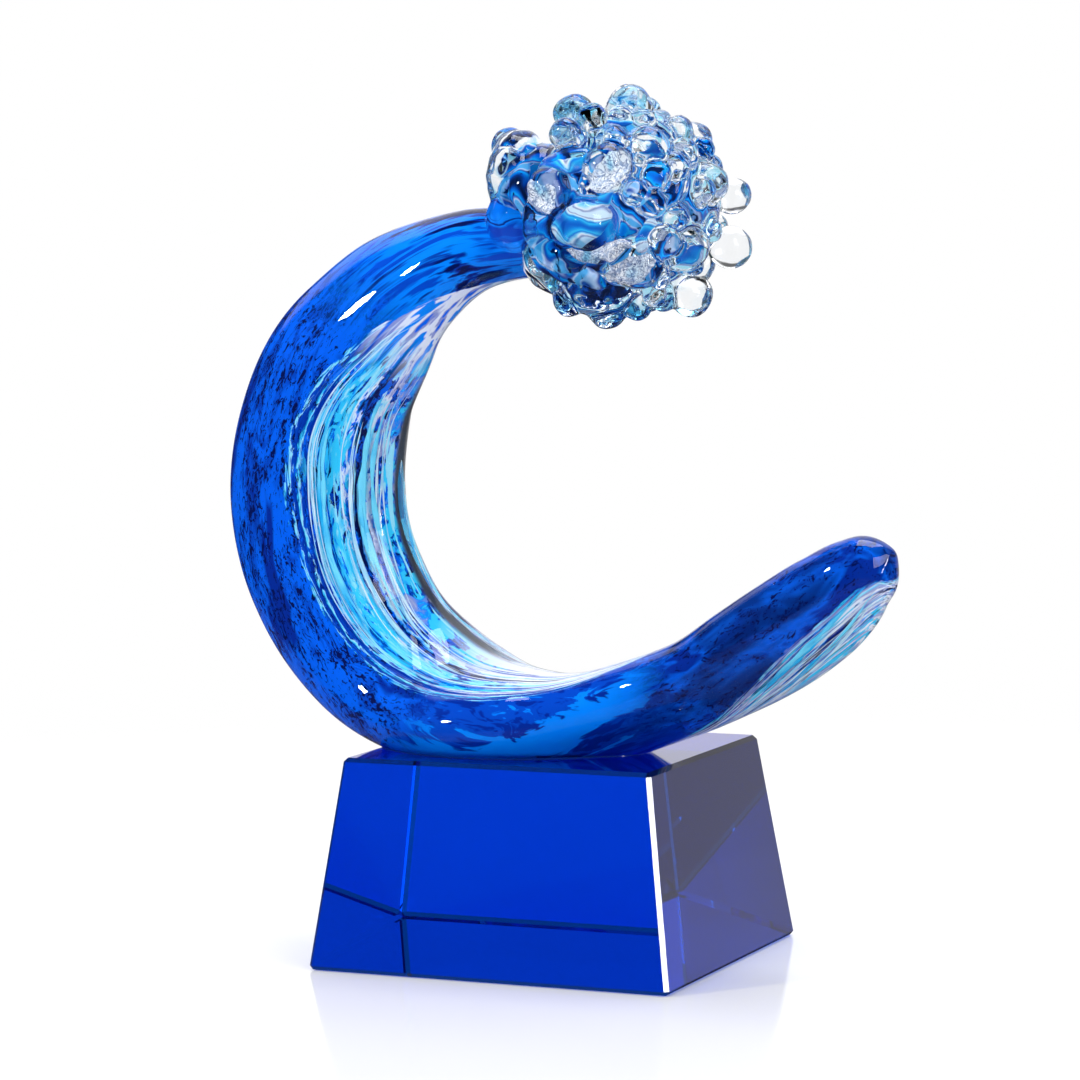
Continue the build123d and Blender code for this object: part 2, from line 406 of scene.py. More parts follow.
colourGlass = {
    "cobalt": (0, 72, 194),
    "bright": (0, 102, 238),
    "deep": (0, 44, 150),
    "navy": (0, 18, 78),
    "azure": (0, 138, 250),
    "turquoise": (56, 210, 255),
    "pale": (160, 236, 255),
    "white": (240, 244, 255),
    "lavender": (150, 160, 216),
    "slate": (74, 78, 88),
    # colours from the start of the streaks to their middle line
    "streakRamp": [
        (0.0, "turquoise"), (0.022, "pale"), (0.036, "cobalt"), (0.11, "deep"), (0.14, "turquoise"),
        (0.16, "pale"), (0.18, "cobalt"), (0.24, "deep"), (0.29, "cobalt"), (0.31, "pale"),
        (0.33, "turquoise"), (0.38, "turquoise"), (0.41, "azure"), (0.45, "deep"), (0.48, "azure"),
        (0.51, "turquoise"), (0.58, "pale"), (0.64, "turquoise"), (0.68, "white"), (0.7, "azure"),
        (0.73, "navy"), (0.8, "navy"), (0.82, "azure"), (0.85, "pale"), (0.89, "white"),
        (0.93, "lavender"), (0.96, "azure"), (0.98, "turquoise"),
    ],
    # clouds drawn out along the ribbon, and clouds that follow the streaks as they fan out:
    # cells per metre along it, cells across, detail, offset, warp
    "bodyClouds": {
        "mottle": (60.0, 150.0, 5.0, 3.1, 0.9),
        "patches": (30.0, 75.0, 3.0, 21.0, 0.6),
        "flecks": (300.0, 720.0, 3.0, 9.7, 1.6),
        "specks": (620.0, 1300.0, 2.0, 15.3, 0.8),
        "rootLines": (14.0, 310.0, 3.0, 33.0, 0.4),
        "footLines": (55.0, 260.0, 3.0, 41.0, 0.8),
        "rootWhite": (4.0, 330.0, 2.0, 57.0, 0.0),
    },
    "fanClouds": {
        "sway": (11.0, 2.4, 2.0, 5.2, 0.0),
        "ragged": (110.0, 13.0, 4.0, 7.7, 0.8),
        "breaks": (75.0, 12.0, 5.0, 11.9, 1.4),
        "cyan": (48.0, 7.0, 5.0, 26.3, 1.2),
        "lines": (13.0, 20.0, 3.0, 18.4, 0.3),
        "tailLines": (26.0, 17.0, 3.0, 61.0, 0.6),
    },
    "fanDepth": 0.15,
    "cloudRoughness": 0.6,
    # parts of the ribbon. Each row says what it goes by, where the part begins, and where it is full
    "parts": {
        "root": [("length", 0.22, 0.11)],
        "foot": [("length", 0.53, 0.6), ("length", 0.8, 0.72)],
        "tail": [("length", 0.7, 0.8)],
        "middle": [
            ("length", 0.17, 0.24), ("length", 0.56, 0.48), ("into", 0.1, 0.34), ("into", 0.76, 0.66)],
        "rootFan": [("length", 0.215, 0.15)],
        "footFan": [("length", 0.5, 0.62)],
        "endFan": [("length", 0.22, 0.1)],
        "tailFan": [("length", 0.76, 0.8)],
        "rim": [("side", 0.1, 0.3), ("into", 0.72, 0.86), ("length", 0.62, 0.55)],
    },
    # coats of colour, one over the other: each names its colour and the parts and clouds that it keeps
    # to, with a last number where it stays thinner
    "bodyCoats": [
        ("bright", ("mottle", 0.4, 0.56)),
        ("deep", ("patches", 0.52, 0.6)),
        ("navy", ("clusteredFlecks", 0.6, 0.63)),
        ("navy", ("clusteredSpecks", 0.68, 0.71)),
        ("cobalt", "root"),
        ("azure", "root", ("rootLines", 0.38, 0.46)),
        ("deep", "root", ("rootLines", 0.52, 0.58)),
        ("navy", "root", ("rootLines", 0.575, 0.63)),
        ("cobalt", "foot"),
        ("deep", "foot", ("footLines", 0.5, 0.56)),
        ("azure", "foot", ("footLines", 0.4, 0.35)),
        ("navy", "tail", ("patches", 0.6, 0.36, 0.8)),
        ("azure", "foot", ("swoosh", 0.0048, 0.00384), ("side", 0.5, 0.2)),
    ],
    "streakCoats": [
        ("turquoise", "middle", ("cyan", 0.49, 0.52)),
        ("pale", "middle", ("cyan", 0.49, 0.52), ("cyan", 0.58, 0.61)),
        ("pale", ("lines", 0.62, 0.635), ("into", 0.05, 0.3)),
        ("white", "bothEnds", ("lines", 0.5, 0.54), ("into", 0.02, 0.25)),
    ],
    "rootCoats": [
        ("lavender", ("rootWhite", 0.5, 0.56)),
        ("bright", ("rootWhite", 0.59, 0.62)),
        ("azure", ("rootWhite", 0.41, 0.38)),
    ],
    "lastCoats": [
        ("lavender", "tailFan", ("tailLines", 0.52, 0.58, 0.8)),
        ("slate", "tailFan", ("tailLines", 0.42, 0.37, 0.7)),
        ("slate", "rim"),
    ],
    # flecks gather where the mottle is low, less so on the tail, and the cyan is thinner at the edge
    "clusters": ("mottle", 0.62, 0.4, 0.09),
    "tailFlecks": ("length", 0.7, 0.8, 0.035),
    "cyanEdge": ("into", 0.5, 0.1, -0.05),
    # how far the streaks sway and fray, and where their start is
    "sway": 0.24,
    "fray": 0.26,
    "streakEdge": (-0.012, 0.012),
    "breaks": ("breaks", 0.535, 0.56),
    # on the tail the colours cross the streaks at a slant
    "tailSlant": 2.6,
    "tailMiddle": 0.82,
    # the bright swoosh over the foot: length share of its middle, slope, height, waver
    "swoosh": (0.61, 0.09, 0.008, 0.016),
    "finish": {"Roughness": 0.55, "Specular IOR Level": 0.02},
    "fleckBump": (0.25, 0.0004),
}


def makeColourGlass():
    look = colourGlass
    material, tree, shader = newMaterial("streakedCobaltGlass")
    along, outward, deep = axes(tree, addNode(tree, "Attribute", attribute_name="flow").outputs["Vector"])
    into, length, side = axes(tree, addNode(tree, "Attribute", attribute_name="fan").outputs["Vector"])
    values = {"into": into, "length": length, "side": side}

    def addCloud(row, across, depth, depthShare):
        lengthScale, crossScale, detail, offset, warp = row
        x = product(tree, along, lengthScale)
        y = product(tree, across, crossScale)
        z = maths(tree, "MULTIPLY_ADD", depth, crossScale * depthShare, offset)
        return cloudOf(tree, addNode(tree, "CombineXYZ", {"X": x, "Y": y, "Z": z}).outputs[0], {
            "Scale": 1.0, "Detail": detail, "Roughness": look["cloudRoughness"], "Distortion": warp})

    for name, row in look["bodyClouds"].items():
        values[name] = addCloud(row, outward, deep, 1.0)
    for name, row in look["fanClouds"].items():
        values[name] = addCloud(row, into, side, look["fanDepth"])

    def band(name, low, high, most=1.0):
        return smoothBand(tree, values[name], low, high, 0.0, most)

    def add(first, second):
        return maths(tree, "ADD", first, second)

    def waver(name, size):
        return product(tree, maths(tree, "SUBTRACT", values[name], 0.5), size)

    # the values that come from more than one of the others
    cluster = maths(tree, "SUBTRACT", band(*look["clusters"]), band(*look["tailFlecks"]))
    values["clusteredFlecks"] = add(values["flecks"], cluster)
    values["clusteredSpecks"] = add(values["specks"], cluster)
    values["cyan"] = add(values["cyan"], band(*look["cyanEdge"]))
    start, slope, height, wavering = look["swoosh"]
    way = add(maths(tree, "MULTIPLY_ADD", length, slope, -start * slope - height), outward)
    values["swoosh"] = add(maths(tree, "ABSOLUTE", way), waver("footLines", wavering))
    parts = {}
    for name, bands in look["parts"].items():
        parts[name] = product(tree, *[band(*row) for row in bands])
    parts["bothEnds"] = largest(tree, parts["endFan"], parts["footFan"])

    def coat(colour, coats):
        for name, *keepsTo in coats:
            shares = [parts[row] if isinstance(row, str) else band(*row) for row in keepsTo]
            colour = mixColour(tree, product(tree, *shares), colour, sRgb(*look[name]))
        return colour

    body = coat(sRgb(*look["cobalt"]), look["bodyCoats"])

    # streaks that fan out from the crest's root and draw together again over the foot
    place = add(add(into, waver("sway", look["sway"])), waver("ragged", look["fray"]))
    slant = product(tree, maths(tree, "SUBTRACT", length, look["tailMiddle"]), look["tailSlant"])
    crossing = maths(tree, "MULTIPLY_ADD", parts["tailFan"], slant, place)
    ramp = addRamp(tree, crossing, [(at, look[name]) for at, name in look["streakRamp"]])
    streaks = mixColour(tree, band(*look["breaks"]), ramp, body)
    streaks = coat(streaks, look["streakCoats"])
    rootStreaks = coat(sRgb(*look["white"]), look["rootCoats"])
    streaks = mixColour(tree, parts["rootFan"], streaks, rootStreaks)
    streaks = coat(streaks, look["lastCoats"])
    colour = mixColour(tree, smoothBand(tree, place, *look["streakEdge"]), body, streaks)
    finishGlass(tree, shader, colour, look["finish"])
    addBump(tree, shader, values["flecks"], *look["fleckBump"])
    return material


colourBody = {
    # where its middle lies in the ribbon, and its width and thickness, as shares of the ribbon's
    "middle": 0.05,
    "across": 0.86,
    "through": 0.84,
    "footGap": 0.0015,
    # first and last share of the ribbon's length
    "first": 0.02,
    "last": 0.985,
}


def makeColourBody():
    piece = makeRibbonPiece(
        "waveColour", makeColourGlass(), colourBody["middle"], colourBody["across"],
        colourBody["through"], footPlane + colourBody["footGap"], colourBody["first"], colourBody["last"])
    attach(piece, "root")
    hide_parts("wave_core")


makeColourBody()
print("coloured glass inside the wave made")


# bundles of fine white and turquoise streaks just under the skin

streakBundles = {
    "depthShare": 0.92,
    "strandRings": 80,
    "sides": 6,
    "flatness": 0.16,
    # what the draws of a strand may reach
    "endShift": 0.4,
    "drift": 0.05,
    "swing": (0.004, 0.018),
    "pace": (5, 11),
    "phase": 6,
    "sizeShares": (0.35, 1.0),
    # how a strand fades to its ends and swells between them
    "taper": 0.55,
    "swell": 0.4,
    "swellPace": 3,
    "leastHalf": 0.00002,
    "leastAngle": 0.995,
    "footShare": 0.5,
    "cloudStep": 0.01,
    # side towards the viewer (-1) or away (1), first and last share of the length,
    # middle and spread from the streaks' start to their middle line, strands, half width
    "white": [
        (-1, 0.11, 0.62, 0.62, 0.1, 4, 0.0004),
        (-1, 0.14, 0.66, 0.93, 0.06, 5, 0.00045),
        (-1, 0.1, 0.64, 0.3, 0.14, 4, 0.0003),
        (1, 0.16, 0.6, 0.84, 0.1, 8, 0.0005),
        (1, 0.12, 0.58, 0.46, 0.14, 8, 0.0005),
        (1, 0.8, 0.97, 0.62, 0.3, 9, 0.00035),
    ],
    "turquoise": [
        (-1, 0.18, 0.56, 0.8, 0.06, 4, 0.0008),
        (-1, 0.2, 0.54, 0.34, 0.08, 4, 0.0009),
        (1, 0.2, 0.54, 0.94, 0.05, 5, 0.0009),
        (1, 0.18, 0.54, 0.66, 0.1, 5, 0.0011),
        (1, 0.2, 0.54, 0.24, 0.12, 6, 0.0011),
        (1, 0.8, 0.98, 0.4, 0.25, 7, 0.00055),
    ],
    "tailFrom": 0.7,
}


streakGlass = {
    # pale and deep colour, cloud size
    "white": ((222, 244, 255), (160, 220, 250), 60.0),
    "turquoise": ((120, 226, 255), (20, 178, 240), 40.0),
    "detail": 3.0,
    "share": (0.42, 0.62),
    "finish": {"Roughness": 0.4, "Specular IOR Level": 0.15},
}


def makeStreakGlass(kind):
    material, tree, shader = newMaterial(kind + "StreakGlass")
    pale, deep, size = streakGlass[kind]
    flow = addNode(tree, "Attribute", attribute_name="flow").outputs["Vector"]
    cloud = cloudOf(tree, flow, {"Scale": size, "Detail": streakGlass["detail"]})
    colour = mixColour(tree, smoothBand(tree, cloud, *streakGlass["share"]), sRgb(*pale), sRgb(*deep))
    finishGlass(tree, shader, colour, streakGlass["finish"])
    return material


def strandSection(way, row, bundle, strand):
    # one six-sided section of a strand: way along the strand, row along the ribbon
    look = streakBundles
    face, first = bundle[0], bundle[1]
    cell = min(int(row), ribbon["rings"] - 2)
    share = row - cell
    at = {key: run[key][cell] * (1 - share) + run[key][cell + 1] * share for key in run}
    step = (strand["into"] + strand["drift"] * way
            + strand["swing"] * math.sin(strand["pace"] * way + strand["phase"]))
    onTail = first > look["tailFrom"]
    begin, turned = (at["tailStart"], 0) if onTail else (at["curlStart"], at["turned"])
    limit = look["leastAngle"]
    theta = face * math.acos(max(-limit, min(limit, begin - step * (begin + 1)))) + turned
    cosine, sine = math.cos(theta), math.sin(theta)
    centre = (at["place"] + at["broad"] * (look["depthShare"] * cosine) * at["width"]
              + at["thin"] * (look["depthShare"] * sine) * at["thickness"])
    side = -at["broad"] * sine * at["width"] + at["thin"] * cosine * at["thickness"]
    side /= np.linalg.norm(side)
    out = np.cross(side, at["forward"])
    swell = 1 + look["swell"] * math.sin(
        strand["pace"] * look["swellPace"] * way + strand["phase"])
    half = strand["size"] * math.sin(math.pi * way) ** look["taper"] * swell
    half = max(half, look["leastHalf"])
    points = []
    for corner in range(look["sides"]):
        turn = 2 * math.pi * corner / look["sides"]
        point = centre + side * half * math.cos(turn)
        point = point + out * half * look["flatness"] * math.sin(turn)
        point[2] = max(point[2], footPlane + colourBody["footGap"] * look["footShare"])
        points.append(point)
    return points, at["along"], step


def makeBundle(name, bundle, material, seed):
    # each strand is a thin flat thread that wanders a little and fades to a point at both ends
    look = streakBundles
    face, first, last, middle, spread, strands, width = bundle
    count = ribbon["rings"] - 1
    rings, sides = look["strandRings"], look["sides"]
    draw = random.Random(seed)
    vertices, faces, flow, fan = [], [], [], []
    for number in range(strands):
        start = first + (last - first) * draw.uniform(0.0, look["endShift"])
        stop = last - (last - first) * draw.uniform(0.0, look["endShift"])
        strand = {
            "into": middle + draw.uniform(-spread, spread),
            "drift": draw.uniform(-look["drift"], look["drift"]),
            "swing": draw.uniform(*look["swing"]),
            "pace": draw.uniform(*look["pace"]),
            "phase": draw.uniform(0, look["phase"]),
            "size": width * draw.uniform(*look["sizeShares"]),
        }
        base = len(vertices)
        for ring in range(rings):
            way = ring / (rings - 1)
            row = (start + (stop - start) * way) * count
            points, along, step = strandSection(way, row, bundle, strand)
            vertices.extend(points)
            cloudStep = look["cloudStep"]
            flow.extend([(along, cloudStep * number, cloudStep * step)] * sides)
            fan.extend([(step, row / count, face)] * sides)
        for ring in range(rings - 1):
            for corner in range(sides):
                a = base + ring * sides + corner
                b = base + ring * sides + (corner + 1) % sides
                faces.append((a, b, b + sides, a + sides))
        faces.append(tuple(base + corner for corner in reversed(range(sides))))
        faces.append(tuple(base + (rings - 1) * sides + corner for corner in range(sides)))
    piece = newPiece(name, vertices, faces, material)
    flowAttributes(piece, flow, fan)
    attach(piece, "root")
    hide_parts(name.replace("Streaks", "_cane"))


whiteGlass = makeStreakGlass("white")
turquoiseGlass = makeStreakGlass("turquoise")
for number, bundle in enumerate(streakBundles["white"], start=1):
    makeBundle(f"whiteStreaks_{number}", bundle, whiteGlass, 40 + number)
for number, bundle in enumerate(streakBundles["turquoise"], start=1):
    makeBundle(f"turquoiseStreaks_{number}", bundle, turquoiseGlass, 80 + number)
print("streaks made")


# the frothy crest: a head, a root collar, folds and round drops, all fused, in millimetres

mm = 0.001

crest = {
    "headReach": 17.5,
    "headRise": 9.8,
    "headRadius": 29,
    "rootRadius": 19.5,
    "rootBack": 22.5,
    "rootDrop": 2,
    "beadRadius": 6,
    "beadFullness": 1.14,
    # the neck of a drop: where it starts, its width on a low and on a high drop, and its length
    "neckFoot": 0.78,
    "neckWidths": (0.86, 0.62),
    "highDrop": 0.5,
    "neckLength": 0.8,
    "foldSink": 2.2,
    "voxel": 0.7,
    "smoothing": 6,
    # swells: cells per metre, and depth
    "ripples": [(95, 0.7), (240, 0.35)],
    # offset from the head's middle, radii
    "bodyLumps": [
        ((0, 0, 0), (25, 24.8, 25)), ((8, 0, 0), (22.8, 22.2, 22.2)), ((-21, 0, 4), (16.5, 18, 15)),
        ((-30, -1, 9), (9.5, 13.5, 14)), ((-26, -3, -3), (13, 15, 12)), ((-14, -3, -14), (14, 16, 12)),
        ((-4, -4, -21), (13, 14, 10.5)),
    ],
    # azimuth, elevation, size share, stand share
    "headBeads": [
        (-135, 65, 0.9, 0.15), (-35, 75, 1.0, 0.1), (0, 47, 0.7, 0.1), (0, 12, 0.95, 0.0),
        (25, 5, 0.8, 1.1), (22, -20, 0.95, 1.1), (18, -50, 0.9, 0.95), (-25, -58, 0.55, 0.3),
        (-20, -74, 0.6, 0.3), (-112, -83, 0.85, 0.2), (-142, -62, 0.75, 0.3), (-47, 2, 0.65, 0.2),
        (-30, -5, 0.55, 0.2), (-18, -24, 1.0, 0.0), (0, -13, 0.6, 0.2), (-42, 36, 0.9, 0.0),
        (-18, 30, 0.75, 0.1), (-62, 58, 0.6, 0.2), (-108, 45, 0.75, 0.2), (-72, 25, 1.05, -0.2),
        (-112, 12, 1.0, -0.3), (-84, -10, 1.2, -0.4), (-52, -36, 1.15, -0.3), (-44, 17, 0.6, 0.1),
        (42, 38, 0.9, 0.2), (60, -2, 1.0, 0.1), (48, -34, 0.85, 0.4), (82, 26, 0.8, 0.2),
        (92, -16, 1.05, 0.0), (78, -56, 0.9, 0.2), (112, 55, 0.9, 0.1), (118, 8, 0.95, 0.0),
        (122, -38, 0.85, 0.1), (60, 68, 0.75, 0.1),
        # small ones between the drops
        (-30, 22, 0.62, 0.35), (-56, 8, 0.55, 0.3), (-38, -20, 0.7, 0.3),
        (-12, 8, 0.6, 0.45), (-8, -34, 0.55, 0.45), (-34, -42, 0.55, 0.3), (-66, 40, 0.6, 0.3),
        (-40, 55, 0.55, 0.3), (10, 32, 0.6, 0.35), (30, 22, 0.6, 0.4), (36, -12, 0.6, 0.4),
        (8, -62, 0.6, 0.3), (-96, 62, 0.6, 0.25),
        (66, 44, 0.6, 0.3), (72, -30, 0.6, 0.3), (100, 30, 0.6, 0.3), (96, -48, 0.6, 0.25),
    ],
    "rootBeads": [(180, 60, 0.8, 0.8), (-120, 48, 0.7, 0.1), (110, 42, 0.8, 0.1)],
    # folds of glass drawn along the head: azimuth, elevation, lean, half length, half width, height
    "folds": [
        (-90, -9, 20, 10, 6, 5), (-118, 8, -35, 8, 4.5, 4.5), (-74, 22, 40, 8.8, 4.2, 4.8),
        (-80, -27, 4, 11, 3.4, 4.2), (-56, -40, 28, 8.5, 4.5, 4.5), (-112, -32, -15, 9, 5.5, 4.2),
        (-105, 29, 18, 9.5, 3.5, 4.2), (-62, 50, 10, 8, 4.2, 4.5), (-28, 12, 60, 7, 4, 4.5),
        (-10, -36, 70, 8, 4.2, 4.2), (-128, -8, 75, 8.5, 4, 4.2), (-30, 52, -30, 7.5, 4, 4.5),
        (15, 28, 80, 8, 4.5, 4.5), (10, 62, 0, 8, 4.5, 4.5), (35, 18, -40, 8.5, 4.5, 4.5),
        (38, -14, 30, 8, 4.5, 4.2), (60, 22, 10, 9, 4.2, 4.2), (74, -36, -20, 9, 4.5, 4.5),
        (104, 26, 35, 9, 4.5, 4.5), (106, -12, 80, 9, 4.5, 4.2), (100, -52, 15, 8.5, 4.5, 4.2),
        (136, 20, -25, 8, 4.5, 4.2), (140, -22, 60, 8, 4.5, 4.2), (85, 58, -15, 8.5, 4.2, 4.2),
        (150, 60, 30, 7.5, 4.2, 4.2),
    ],
}

headCentre = Vector(run["place"][0]) + Vector((crest["headReach"] * mm, 0, crest["headRise"] * mm))
rootCentre = headCentre - Vector((crest["rootBack"] * mm, 0, crest["rootDrop"] * mm))


def direction(azimuth, elevation):
    turn, lift = math.radians(azimuth), math.radians(elevation)
    return Vector((math.cos(lift) * math.cos(turn), math.cos(lift) * math.sin(turn), math.sin(lift)))


def addLump(form, centre, radii, turn=Matrix.Identity(3), detail=4):
    # an ellipsoid, turned so that its third radius lies along the turn's third axis
    size = Matrix.Diagonal((*[radius * mm for radius in radii], 1.0))
    matrix = Matrix.Translation(centre) @ turn.to_4x4() @ size
    bmesh.ops.create_icosphere(form, subdivisions=detail, radius=1.0, matrix=matrix)


def leaningTurn(azimuth, elevation, lean=0):
    # x lies on the head, lean degrees up from level, and z points out of it
    out = direction(azimuth, elevation)
    level = Vector((-math.sin(math.radians(azimuth)), math.cos(math.radians(azimuth)), 0))
    rise = out.cross(level)
    tilt = math.radians(lean)
    length = level * math.cos(tilt) + rise * math.sin(tilt)
    return Matrix((length, out.cross(length), out)).transposed()


def lumpOnHead(form, azimuth, elevation, reach, lean, radii):
    place = headCentre + direction(azimuth, elevation) * (reach * mm)
    addLump(form, place, radii, leaningTurn(azimuth, elevation, lean))


def lumpBeside(form, offset, radii, turn=Matrix.Identity(3), detail=4):
    addLump(form, headCentre + Vector([way * mm for way in offset]), radii, turn, detail)


def fusedPiece(name, form, look, material):
    piece = lumpPiece(name, form, material)
    remesh = piece.modifiers.new("fuse", "REMESH")
    remesh.mode = "VOXEL"
    remesh.voxel_size = look["voxel"] * mm
    soften = piece.modifiers.new("soften", "SMOOTH")
    soften.factor = 0.5
    soften.iterations = look["smoothing"]
    applyModifiers(piece, material)
    ripple(piece, look["ripples"])
    return piece


# without a seed of its own, Blender's noise would swell the glass another way in each run
noise.seed_set(4)


def ripple(piece, ripples):
    # soft uneven swells, as hot glass sets
    for size, depth in ripples:
        for vertex in piece.data.vertices:
            vertex.co += noise.noise_vector(vertex.co * size) * (depth * mm)


def makeCrestForm(material):
    form = bmesh.new()
    for offset, radii in crest["bodyLumps"]:
        lumpBeside(form, offset, radii, detail=5)
    for centre, lump, beads in ((headCentre, crest["headRadius"], crest["headBeads"]),
                                (rootCentre, crest["rootRadius"], crest["rootBeads"])):
        for azimuth, elevation, sizeShare, standShare in beads:
            turn = leaningTurn(azimuth, elevation)
            out = direction(azimuth, elevation)
            radius = sizeShare * crest["beadRadius"]
            middle = lump + standShare * radius
            full = radius * crest["beadFullness"]
            addLump(form, centre + out * (middle * mm), [full] * 3, turn)
            foot = lump * crest["neckFoot"]
            neck = full * crest["neckWidths"][standShare > crest["highDrop"]]
            radii = (neck, neck, (middle - foot) * crest["neckLength"])
            addLump(form, centre + out * ((middle + foot) * mm) * 0.5, radii, turn, 3)
    for azimuth, elevation, lean, *radii in crest["folds"]:
        lumpOnHead(form, azimuth, elevation, crest["headRadius"] - crest["foldSink"], lean, radii)
    return fusedPiece("crestForm", form, crest, material)


skinGlass = {
    "tint": (0.97, 0.985, 1.0, 1.0),
    "crestTint": sRgb(96, 184, 220),
    # the tint lies in clouds, from far off the head's middle to near it, and behind its front drops
    "cloud": {"Scale": 60.0, "Detail": 2.0, "Distortion": 1.2},
    "cloudShare": (0.46, 0.58),
    "reach": (0.05, 0.042),
    "sideways": (0.024, 0.01),
    "finish": {"Roughness": 0.0, "IOR": 1.5, "Transmission Weight": 1.0},
    "waves": {"Scale": 38.0, "Detail": 1.0, "Roughness": 0.4},
    "waveBump": (0.12, 0.002),
}


def makeSkinGlass():
    # clear glass, with clouds of light blue in the crest
    material, tree, shader = newMaterial("clearGlass")
    place = objectPlace(tree)
    offset = addNode(tree, "VectorMath", {0: place, 1: headCentre}, operation="SUBTRACT").outputs[0]
    reach = addNode(tree, "VectorMath", {0: offset}, operation="LENGTH").outputs["Value"]
    share = product(
        tree, smoothBand(tree, reach, *skinGlass["reach"]),
        smoothBand(tree, axes(tree, offset)[0], *skinGlass["sideways"]),
        smoothBand(tree, cloudOf(tree, place, skinGlass["cloud"]), *skinGlass["cloudShare"]))
    colour = mixColour(tree, share, skinGlass["tint"], skinGlass["crestTint"])
    finishGlass(tree, shader, colour, skinGlass["finish"])
    addBump(tree, shader, cloudOf(tree, place, skinGlass["waves"]), *skinGlass["waveBump"])
    letLampsThrough(tree, shader)
    return material


def makeSkin():
    clearGlass = makeSkinGlass()
    skin = makeRibbonPiece("glassSkin", clearGlass, 0.0, 1.0, 1.0, footPlane)
    form = makeCrestForm(clearGlass)
    join = skin.modifiers.new("join", "BOOLEAN")
    join.operation = "UNION"
    join.solver = "EXACT"
    join.object = form
    applyModifiers(skin, clearGlass)
    bpy.data.objects.remove(form)
    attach(skin, "root")
    beadNodes = sorted(name for name in nodes if name.startswith("froth_bead"))
    lengths = ("wave_neck", "wave_shoulder", "wave_back", "wave_belly", "wave_foot", "wave_tail")
    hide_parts(*lengths, "crest_casing", *beadNodes)


makeSkin()
print("glass skin made")


# blue glass inside the crest: lumps and folded veils below the clear froth

crestColour = {
    "voxel": 0.8,
    "smoothing": 5,
    "ripples": [(130, 1.2)],
    # azimuth, elevation, distance from the head's middle, lean, half length, half width, thickness
    "veils": [
        (-120, -30, 15, 25, 13, 8, 4.5), (-100, -48, 15, 0, 12, 7, 4), (-140, -10, 16, 60, 11, 7, 4),
        (-96, 2, 16, 15, 10, 5, 3.5), (-66, -18, 16.5, 70, 8.5, 4, 3.2),
        (-70, -42, 16.5, 20, 9, 4.5, 3.2), (-46, -8, 17.5, 80, 7.5, 2.6, 2.6),
        (-60, 62, 18, 0, 5.5, 3, 2.2), (-118, 34, 16.5, 20, 8.5, 3.2, 2.8), (-150, 30, 18, 70, 8, 4, 2.8),
        (-24, 22, 17.5, 40, 5, 2.4, 2.4), (2, -30, 17.5, 10, 6, 2.6, 2.4), (60, 10, 16, 30, 10, 5, 3.5),
        (100, -20, 15.5, 60, 11, 6, 4), (130, 10, 16, 20, 10, 5.5, 3.6), (80, -50, 16.5, 0, 9, 4.5, 3.4),
        (110, 45, 16.5, 40, 8, 3.6, 2.8), (180, -40, 15, 0, 10, 8, 4.5),
    ],
    # veils in the hood over the ribbon's end: offset from the head's middle, azimuth and elevation that
    # they face, lean, half length, half width, thickness
    "hoodVeils": [
        ((-21.5, -11, -1), -120, 10, -42, 12.5, 3.4, 2.2), ((-16.5, -14, -8), -110, 0, -40, 12, 3.6, 2.2),
        ((-11, -15, 8), -105, 20, -30, 11, 3, 2), ((-25, -10, 7), -130, 15, -70, 8.5, 3.2, 2.2),
        ((-27, -7, 14), -130, 30, 40, 7, 2.6, 2), ((-6, -14, -19), -100, -30, -20, 10, 4, 2.6),
        ((-13, -10, -16), -115, -25, -35, 10, 3.6, 2.6), ((-24, 9, 4), 130, 10, 30, 11, 5, 2.6),
        ((-16, 11, -9), 120, -15, 20, 11, 5, 2.6), ((-30, 0, 3), 180, 0, 60, 8, 5, 2.4),
        ((-20, 0, 13), 180, 60, 0, 9, 6, 2.4),
    ],
    # waves of colour across the folds of one veil
    "folds": {"Scale": 30.0, "Distortion": 14.0, "Detail": 3.0, "Detail Scale": 1.1},
    "foldRamp": [
        (0.0, (2, 26, 66)), (0.09, (0, 50, 126)), (0.22, (0, 88, 196)), (0.42, (0, 130, 228)),
        (0.58, (24, 172, 238)), (0.7, (0, 96, 200)), (0.79, (70, 100, 180)), (0.9, (196, 218, 246)),
        (0.96, (90, 180, 236)),
    ],
    "flecks": {"Scale": 320.0, "Detail": 3.0, "Distortion": 1.0},
    "fleckShare": (0.6, 0.64),
    "fleckColour": (4, 30, 78),
    "finish": {"Roughness": 0.5, "Specular IOR Level": 0.02},
}

swirl = {
    # azimuth, elevation, distance from the head's middle, lean, half length, half width
    "places": [
        (-90, -10, 25.2, 12, 7.8, 3.4), (-52, -58, 25, 8, 6.2, 3.2), (-62, 66, 25.2, 0, 4.2, 2.8),
        (-46, -20, 24.8, 78, 6, 2.6), (-110, 27, 25.2, 12, 10.5, 2.2), (-126, -46, 23.6, -35, 8.5, 3.2),
        (-76, 4, 25, 60, 5, 2), (98, 20, 25, 20, 8, 3.2), (66, -22, 25, -30, 8, 3.2),
        (128, -24, 25, 60, 8, 3), (84, 52, 25, 0, 7, 2.6),
    ],
    "thickness": 1.1,
    "ripples": [(200, 1.4)],
    "waves": {"Scale": 48.0, "Distortion": 16.0, "Detail": 2.5, "Detail Scale": 0.8},
    "ramp": [
        (0.0, (0, 92, 196)), (0.14, (10, 140, 224)), (0.34, (50, 188, 240)), (0.52, (0, 112, 212)),
        (0.66, (130, 212, 244)), (0.78, (226, 236, 250)), (0.88, (120, 138, 186)), (0.96, (204, 228, 248)),
    ],
    "finish": {"Roughness": 0.35, "Specular IOR Level": 0.2},
}


